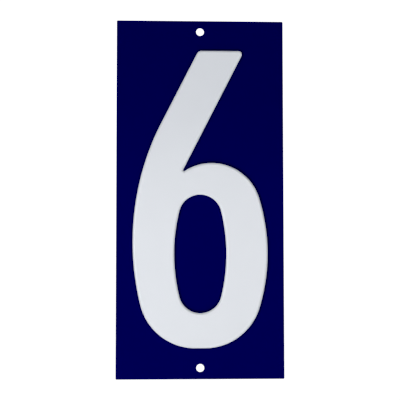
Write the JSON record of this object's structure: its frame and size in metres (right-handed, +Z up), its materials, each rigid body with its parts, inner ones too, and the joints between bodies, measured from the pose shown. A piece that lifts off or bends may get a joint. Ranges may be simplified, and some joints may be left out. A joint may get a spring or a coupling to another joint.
{
  "type": "house number plaque",
  "caption": "Flat rectangular pressed sheet-metal door plate with a raised white digit on blue and a screw hole near each short edge.",
  "frame": {"origin": "centre of the plate's back plane, midway between the two screw holes", "axes": "+Z up along the plate's long side, -Y out of the front, +X to the right as seen from the front; the back lies on y = 0"},
  "size_m": [0.07, 0.0023, 0.15],
  "materials": {
    "plate": "glossy deep blue stoved enamel paint, with the face of the raised digit in white"
  },
  "bodies": {
    "root": {"number_plate": "plate"}
  },
  "joints": []
}
